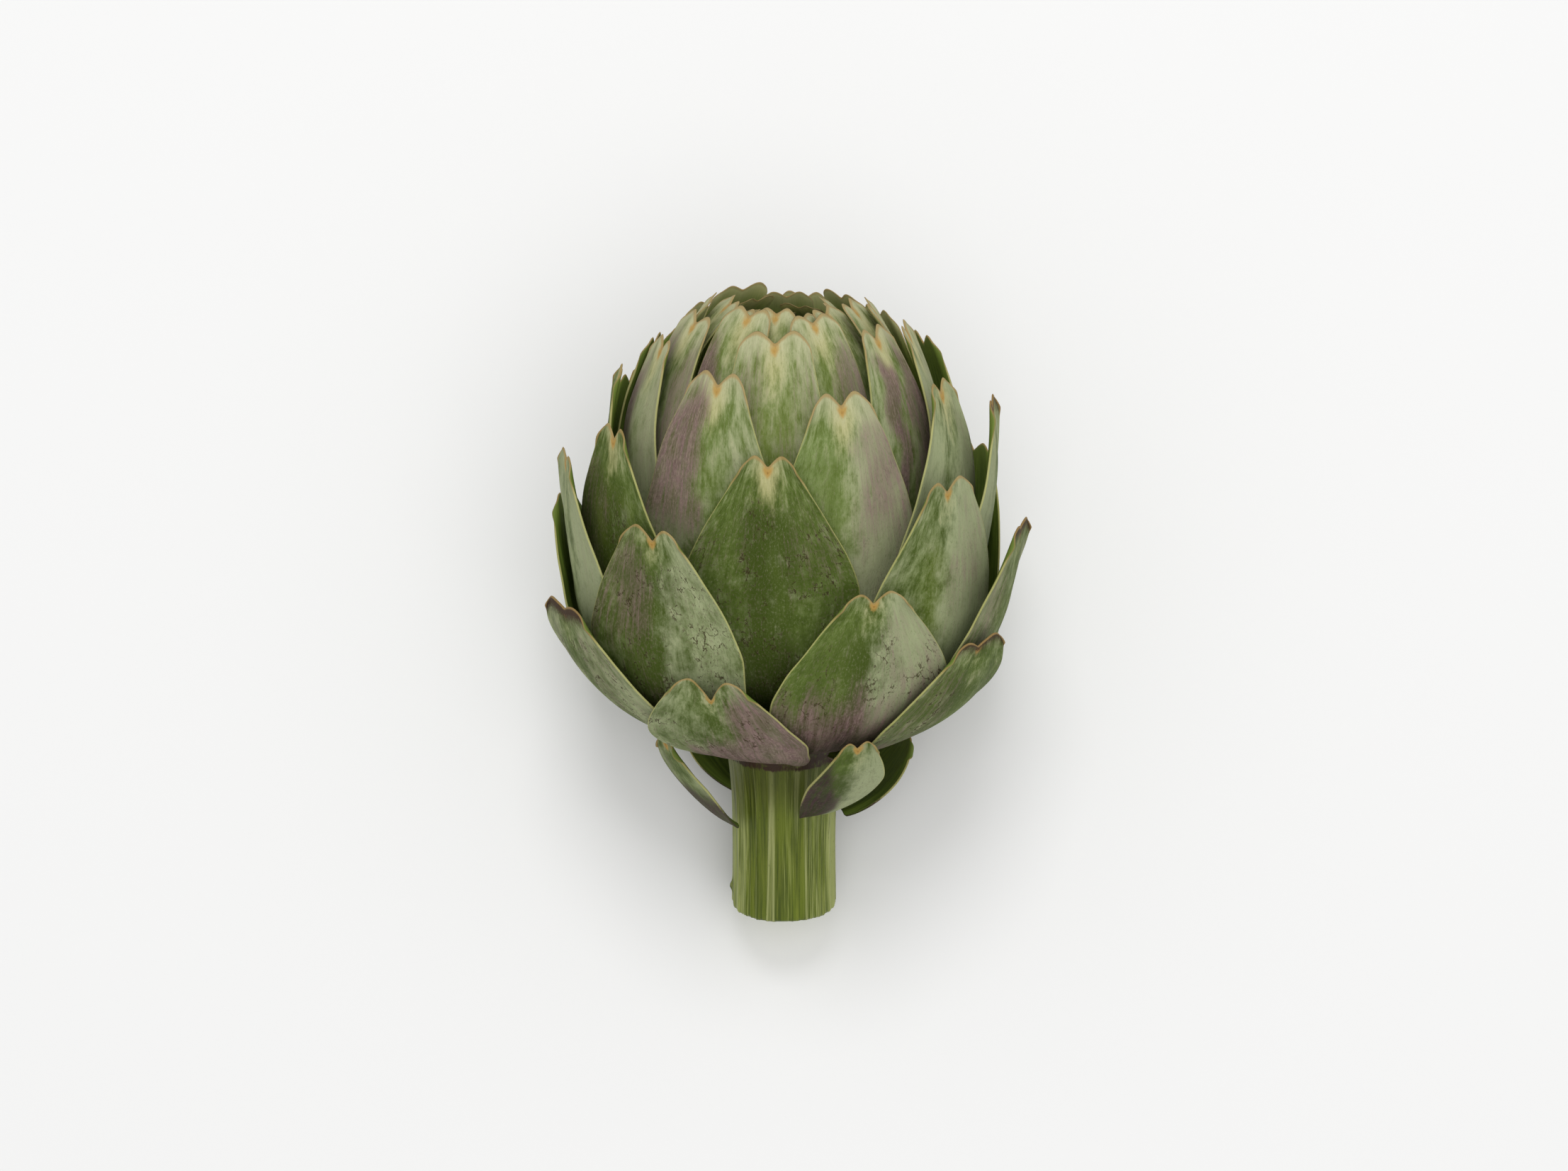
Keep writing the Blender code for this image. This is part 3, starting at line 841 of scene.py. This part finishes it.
def bract_skin(name, colours):
    """The matte, finely ribbed outside of a bract."""
    finish = Finish(name, 0.6, 0.06)
    fine = finish.grain(finish.along_fibres((24, 1.6)), detail=5)
    broad = finish.grain(finish.along_fibres((7, 0.8)), detail=4)
    cloud = finish.grain(finish.along_fibres((2.2, 1.6)), detail=7, roughness=0.68)
    speck = finish.grain(finish.along_fibres((16, 10)), detail=6, roughness=0.75)
    both = finish.math("ADD", scaled(finish, fine, 0.4), scaled(finish, broad, 0.6))
    soft = finish.math("ADD", scaled(finish, both, 0.2), scaled(finish, cloud, 0.8))
    skin = finish.mix(finish.step(soft, 0.38, 0.62), colours["shade"], colours["green"])
    glow = masked(finish, finish.mark("glow"), soft, 1.6, 0.0, 0.9)
    skin = finish.mix(scaled(finish, glow, 0.7), skin, colours["glow"])
    deep = masked(finish, finish.mark("deep"), soft, 1.8, 0.1, 0.95)
    skin = finish.mix(scaled(finish, deep, 0.9), skin, colours["deep"])
    # The waxy grey bloom, stronger on the lit side of some bracts, which is painted light.
    bloom_and_side_light = masked(finish, finish.mark("bloom_and_side_light"), soft, 2.2, 0.1, 0.95)
    skin = finish.mix(scaled(finish, bloom_and_side_light, 0.85), skin, colours["bloom_and_side_light"])
    cream = masked(finish, finish.mark("cream"), cloud, 1.4, 0.1, 0.9)
    skin = finish.mix(scaled(finish, cream, 0.85), skin, colours["cream"])
    pale = scaled(finish, finish.mark("lobe"), colours["pale"])
    pale = masked(finish, pale, cloud, 1.4, 0.1, 0.9)
    skin = finish.mix(scaled(finish, pale, 0.8), skin, colours["cap"])
    streaks = finish.math("ADD", scaled(finish, both, 0.7), scaled(finish, speck, 0.3))
    flush = masked(finish, finish.mark("flush"), streaks, 2.6, 0.1, 1.05)
    stain = finish.mix(finish.step(streaks, 0.4, 0.6), colours["dark_flush"], colours["flush"])
    veil = finish.math("MULTIPLY", flush, finish.step(soft, 0.36, 0.6, 0.6, 0.92))
    skin = finish.mix(veil, skin, stain)
    bruise = finish.step(finish.mark("bruise"), 0.1, 0.8)
    flecks = scaled(finish, finish.step(speck, 0.55, 0.61), bruise)
    skin = finish.mix(scaled(finish, flecks, 0.75), skin, FLECK)
    bends = finish.grain(finish.along_fibres((2.8, 2.2)), detail=3, roughness=0.6)
    bends = finish.math("ABSOLUTE", finish.math("SUBTRACT", bends, 0.5))
    scratch = scaled(finish, finish.step(bends, 0.03, 0.008), finish.step(cloud, 0.49, 0.54))
    scratch = scaled(finish, scratch, bruise)
    skin = finish.mix(scaled(finish, scratch, 0.85), skin, SCRATCH)
    skin = finish.mix(scaled(finish, finish.step(speck, 0.5, 0.72), 0.3), skin, colours["cap"])
    skin = finish.mix(scaled(finish, finish.step(fine, 0.48, 0.3), 0.25), skin, colours["deep"])
    skin = finish.mix(scaled(finish, finish.step(speck, 0.47, 0.3), 0.5), skin, colours["deep"])
    ring = masked(finish, finish.mark("spot"), speck, 1.0, 0.25, 0.8)
    skin = finish.mix(scaled(finish, ring, 0.9), skin, SPOT_RING)
    core = masked(finish, finish.mark("spot"), speck, 0.8, 0.8, 1.1)
    skin = finish.mix(scaled(finish, core, 0.8), skin, SPOT_CORE)
    browned = masked(finish, finish.mark("browned"), speck, 0.9, 0.25, 0.65)
    skin = finish.mix(browned, skin, BROWNED_TIP)
    edge = finish.mix(finish.step(finish.mark("lobe"), 0.25, 0.8), colours["rim"], colours["lobe"])
    rim = masked(finish, finish.mark("margin"), speck, 0.8, 0.35, 0.85)
    skin = finish.mix(scaled(finish, rim, 0.75), skin, edge)
    finish.colour(skin)
    finish.roughen(finish.step(cloud, 0.3, 0.7, 0.55, 0.7))
    relief = finish.math("ADD", scaled(finish, fine, 0.5), scaled(finish, broad, 0.7))
    relief = finish.math("ADD", relief, speck)
    finish.bump(relief, 0.4, 0.0004)
    return finish.material


def inner_skin(name, green, deep, tip):
    """The smoother inside of a bract, paler towards its tip; in the crown that paler tip is
    painted light.
    """
    finish = Finish(name, 0.55, 0.1)
    broad = finish.grain(finish.along_fibres((8, 0.8)), detail=4)
    skin = finish.mix(finish.step(broad, 0.3, 0.7), deep, green)
    # Paler towards the tip; in the crown this is painted light on shaded insides.
    skin = finish.mix(finish.step(finish.mark("lobe"), 0.1, 0.9, 0, 0.8), skin, tip)
    edge = finish.step(finish.mark("margin"), 0.5, 1.0)
    skin = finish.mix(scaled(finish, edge, 0.6), skin, INNER_EDGE)
    finish.colour(skin)
    finish.bump(broad, 0.2, 0.0003)
    return finish.material


def bract_finishes():
    """The outside and inside materials of each ring."""
    lower_inside = inner_skin("lower_bract_inside", *LOWER_INSIDE)
    crown_inside_painted_light = inner_skin("crown_bract_inside_painted_light", *CROWN_INSIDE_WITH_PAINTED_LIGHT)
    lower_skin = bract_skin("lower_bract_skin", LOWER_SKIN)
    crown_skin = bract_skin("crown_bract_skin", CROWN_SKIN)
    upper_skin = bract_skin("upper_bract_skin", UPPER_SKIN)
    return {
        "stem_bract": (bract_skin("stem_bract_skin", STEM_BRACT_SKIN), lower_inside),
        "base_bract": (lower_skin, lower_inside),
        "outer_bract": (lower_skin, lower_inside),
        "middle_bract": (lower_skin, lower_inside),
        "upper_bract": (upper_skin, lower_inside),
        "crown_bract": (crown_skin, crown_inside_painted_light),
        "heart_bract": (crown_skin, crown_inside_painted_light),
    }


def look_of(name, ring):
    """A bract's look: the plain one, changed by its ring's and then by its own."""
    return {**PLAIN_LOOK, **RING_LOOKS[ring], **BRACT_LOOKS.get(name, {})}


def add_all_bracts(rest, finishes):
    """The bracts on the head and on the stem. Gives back the deepest layer."""
    named = [
        (f"{ring}_{k}", ring, (*bract, TIP_WIDTHS[ring]))
        for ring, bracts in RINGS.items()
        for k, bract in enumerate(bracts, 1)
    ]
    named.sort(key=lambda item: item[2][1])
    layers = layers_of([bract for _, _, bract in named])
    for seed, ((name, ring, bract), layer) in enumerate(zip(named, layers)):
        surface, length = head_bract_surface(bract, layer, seed)
        look = look_of(name, ring)
        widths = (bract[2], TIP_WIDTHS[ring])
        thickness = INNER_BRACT_THICKNESS if ring in INNER_RINGS else BRACT_THICKNESS
        skins = finishes[ring]
        piece = add_bract(
            name + "_leaf", surface, length, widths, thickness, look, rest, skins, seed
        )
        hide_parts(name)
    skins = finishes["stem_bract"]
    for k, bract in enumerate(STEM_BRACTS, 1):
        name = f"stem_bract_{k}"
        seed = STEM_BRACT_SEED + k
        surface, length = stem_bract_surface(bract, seed)
        look = look_of(name, "stem_bract")
        widths = (bract[5], TIP_WIDTHS["stem_bract"])
        piece = add_bract(
            name + "_leaf", surface, length, widths, BRACT_THICKNESS, look, rest, skins, seed
        )
        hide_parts(name)
    return max(layers)


def rib_height(turn, height):
    """How high the stem's uneven ribs stand at a place, from 0 in a groove to 1 on a rib."""
    around = Vector((3.3 * math.cos(turn), 3.3 * math.sin(turn), 0.004 * height))
    coarse = max(1 - abs(noise.noise(around)) / 0.16, 0)
    fine = max(1 - abs(noise.noise(around * 2.1)) / 0.2, 0)
    return max(coarse, 0.6 * fine)


def stem_finish():
    """The stem's green skin with its pale ribs and streaks, a painted highlight along its two
    sides, and painted shade under the head.
    """
    finish = Finish("stem_skin_fine", 0.5, 0.25)
    fine = finish.grain(finish.along_fibres((34, 0.6)), detail=5)
    broad = finish.grain(finish.along_fibres((6, 0.4)), detail=4)
    speck = finish.grain(finish.along_fibres((16, 6)), detail=5, roughness=0.7)
    skin = finish.mix(finish.step(broad, 0.35, 0.65), STEM_DARK, STEM_GREEN)
    skin = finish.mix(finish.step(fine, 0.4, 0.7, 0, 0.6), skin, STEM_STREAK)
    # Pale streaks, and a painted highlight along the stem's two sides.
    pale = masked(finish, finish.mark("pale"), fine, 1.4, 0.5, 0.95)
    skin = finish.mix(scaled(finish, pale, 0.7), skin, STEM_PALE_AND_HIGHLIGHT)
    rib = masked(finish, finish.mark("rib"), fine, 1.0, 0.5, 1.1)
    skin = finish.mix(scaled(finish, rib, 0.75), skin, STEM_RIB)
    skin = finish.mix(scaled(finish, finish.step(speck, 0.62, 0.7), 0.5), skin, STEM_SPECK)
    # Painted shade on the stem under the head.
    skin = finish.mix(scaled(finish, finish.mark("shade"), 0.8), skin, STEM_PAINTED_SHADE)
    # A dark brown band at the stem's top, where it meets the head.
    dark_band = masked(finish, finish.mark("dark_band"), speck, 1.2, 0.4, 0.8)
    skin = finish.mix(dark_band, skin, STEM_DARK_BAND)
    finish.colour(skin)
    finish.roughen(finish.step(broad, 0.3, 0.7, 0.42, 0.58))
    finish.bump(finish.math("ADD", fine, scaled(finish, speck, 0.5)), 0.4, 0.0004)
    return finish.material


def cut_finish():
    """The stem's cut end: pale pith inside a greener ring and a thin rind."""
    finish = Finish("stem_cut", 0.65)
    spots = finish.grain(finish.place(), scale=1400, detail=2)
    ring = finish.mark("pith")
    skin = finish.mix(finish.step(ring, 0.55, 0.8), PITH, PITH_RING)
    skin = finish.mix(finish.step(ring, 0.9, 0.98), skin, CUT_RIND)
    skin = finish.mix(finish.step(spots, 0.55, 0.7, 0, 0.6), skin, CUT_SPOT)
    finish.colour(skin)
    finish.bump(spots, 0.4, 0.0003)
    return finish.material


def add_stem(rest):
    """The ribbed stem with its cut end, widening into the heart."""
    start, rise = STEM_END + CUT_BEVEL, HEART_TOP - STEM_END - CUT_BEVEL
    heights = [start + k * rise / STEM_ROWS for k in range(STEM_ROWS + 1)]
    outline = [(radius, STEM_END) for radius in CUT_RINGS]
    outline += [(core_radius(height), height) for height in heights]
    outline += [(HEART_TOP_RING, HEART_TOP), (0, HEART_TOP)]
    shape = bmesh.new()
    points = [shape.verts.new((radius, 0, height)) for radius, height in outline]
    edges = [shape.edges.new(pair) for pair in zip(points, points[1:])]
    bmesh.ops.spin(
        shape,
        geom=points + edges,
        axis=(0, 0, 1),
        angle=2 * math.pi,
        steps=STEM_SEGMENTS,
        use_merge=True,
    )
    bmesh.ops.remove_doubles(shape, verts=shape.verts, dist=0.001)
    bmesh.ops.recalc_face_normals(shape, faces=shape.faces)
    fibres = shape.loops.layers.uv.new("fibres")
    marks = {mark: shape.verts.layers.float.new(mark) for mark in STEM_MARKS}
    for face in shape.faces:
        middle = face.calc_center_median()
        face.material_index = 1 if middle.z < STEM_END + 0.1 else 0
        for loop in face.loops:
            place = loop.vert.co
            turn = math.atan2(place.y, place.x)
            if turn < 0 and math.atan2(middle.y, middle.x) > math.pi / 2:
                turn += 2 * math.pi
            loop[fibres].uv = (turn * STEM_RADIUS / CENTIMETRE, place.z / CENTIMETRE)
    for vert in shape.verts:
        radius, height = vert.co.xy.length, vert.co.z
        turn = math.atan2(vert.co.y, vert.co.x)
        rib = rib_height(turn, height)
        flank = smooth_step(abs(vert.co.x) / max(radius, 1), 0.4, 0.9)
        uneven = wobble(3 * math.cos(turn), 3 * math.sin(turn), 2)
        ragged = 0.8 + 0.4 * wobble(turn * 5, height, 9)
        vert[marks["rib"]] = rib
        # Pale streaks at random, growing towards the stem's two sides: a painted highlight.
        vert[marks["pale"]] = 0.35 + 0.45 * flank + 0.5 * uneven
        # Painted shade: the stem darkens towards the head, under its overhang.
        vert[marks["shade"]] = 0.55 * smooth_step(height, -17, -8)
        # A dark brown band where the stem goes in under the head, with a ragged lower edge.
        vert[marks["dark_band"]] = ragged * smooth_step(height, -5.2, -3.6)
        vert[marks["pith"]] = radius / STEM_RADIUS
        if radius > RIBBED_BEYOND and height < 0:
            lowered = RIB_DEPTH * (1 - rib) * (1 - smooth_step(height, -14, -2))
            aside = (turn - NUB_TURN) / NUB_TURN_REACH
            above = (height - NUB_HEIGHT) / NUB_HEIGHT_REACH
            nub = NUB_SIZE * math.exp(-(aside**2) - above**2)
            vert.co.xy *= 1 - (lowered - nub) / radius
        if height < STEM_END + 1:
            rough = 0.25 * (1 + wobble(turn * 3, radius / 6, 8))
            vert.co.z += rough * radius / STEM_RADIUS
        vert.co = (rest @ vert.co) * METRE
    piece = finish_mesh("stem_and_heart_fine", shape, [stem_finish(), cut_finish()])
    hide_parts("stem_and_heart")


def add_bud_leaves(deepest, rest, finishes):
    """The small leaves that fill the crown's opening, each inside the one before it."""
    look = {**look_of("inner_bud", "heart_bract"), "left": 0.2, "right": 0.2}
    for k, (azimuth, tip_height, half_width) in enumerate(BUD_LEAVES):
        bract = (azimuth, tip_height, half_width, 0, BUD_LEAF_NOTCH, BUD_LEAF_TIP_WIDTH)
        layer = deepest + BUD_LAYER_START + BUD_LAYER_STEP * k
        seed = BUD_LEAF_SEED + k
        surface, length = head_bract_surface(bract, layer, seed)
        widths = (half_width, BUD_LEAF_TIP_WIDTH)
        name = f"bud_leaf_{k + 1}"
        leaf = add_bract(
            name, surface, length, widths, BUD_LEAF_THICKNESS, look, rest, finishes, seed
        )
        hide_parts("inner_bud")


def colour_choke():
    """The choke, which doesn't show, keeps its shape."""
    hairs = Finish("choke_hairs_fine", 0.85)
    strands = hairs.grain(hairs.place(), scale=900, detail=3)
    hairs.colour(hairs.mix(hairs.step(strands, 0.3, 0.7), HAIR_DARK, HAIR_LIGHT))
    hairs.bump(strands, 0.6, 0.0005)
    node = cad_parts["choke"]
    node.data.materials.clear()
    node.data.materials.append(hairs.material)


def add_floor():
    shape = bmesh.new()
    bmesh.ops.create_grid(shape, x_segments=1, y_segments=1, size=FLOOR_REACH)
    mesh = bpy.data.meshes.new("floor")
    shape.to_mesh(mesh)
    shape.free()
    paper = Finish("white_paper", 0.9, 0.2)
    paper.shader.inputs["Base Color"].default_value = (*PAPER, 1)
    mesh.materials.append(paper.material)
    floor = bpy.data.objects.new("floor", mesh)
    bpy.context.scene.collection.objects.link(floor)


def add_lamp(name, target, aside, along, height, size, power):
    """A soft round lamp, turned towards the target."""
    light = bpy.data.lights.new(name, "AREA")
    light.shape = "DISK"
    light.size = size
    light.energy = power
    lamp = bpy.data.objects.new(name, light)
    lamp.location = (target.x + aside, target.y + along, height)
    lamp.rotation_euler = (target - lamp.location).to_track_quat("-Z", "Y").to_euler()
    bpy.context.scene.collection.objects.link(lamp)


def add_camera(across):
    """The camera, which looks down steeply from the stem's side."""
    camera = bpy.data.cameras.new("camera")
    camera.lens = CAMERA_LENS
    camera.sensor_width = CAMERA_SENSOR
    seen = bpy.data.objects.new("camera", camera)
    target = Vector((across, CAMERA_AIM_ALONG, CAMERA_AIM_HEIGHT))
    back = Vector((0, -math.cos(CAMERA_ELEVATION), math.sin(CAMERA_ELEVATION)))
    seen.location = target + back * CAMERA_DISTANCE
    seen.rotation_euler = (-back).to_track_quat("-Z", "Y").to_euler()
    bpy.context.scene.collection.objects.link(seen)
    bpy.context.scene.camera = seen


def add_studio(rest):
    """A white floor under an even white sky, two large soft lamps, and the camera above."""
    add_floor()
    world = bpy.data.worlds.new("studio")
    world.use_nodes = True
    world.node_tree.nodes["Background"].inputs["Color"].default_value = (1, 1, 1, 1)
    world.node_tree.nodes["Background"].inputs["Strength"].default_value = SKY_STRENGTH
    bpy.context.scene.world = world
    middle = rest @ Vector((0, 0, CENTRE_HEIGHT)) * METRE
    add_lamp("soft_key", middle, **KEY_LAMP)
    add_lamp("overhead", middle, **OVERHEAD_LAMP)
    add_camera(middle.x)
    bpy.context.scene.view_settings.view_transform = "Standard"


rest_place = resting_place()
add_studio(rest_place)
add_stem(rest_place)
bract_materials = bract_finishes()
deepest_layer = add_all_bracts(rest_place, bract_materials)
add_bud_leaves(deepest_layer, rest_place, bract_materials["heart_bract"])
colour_choke()
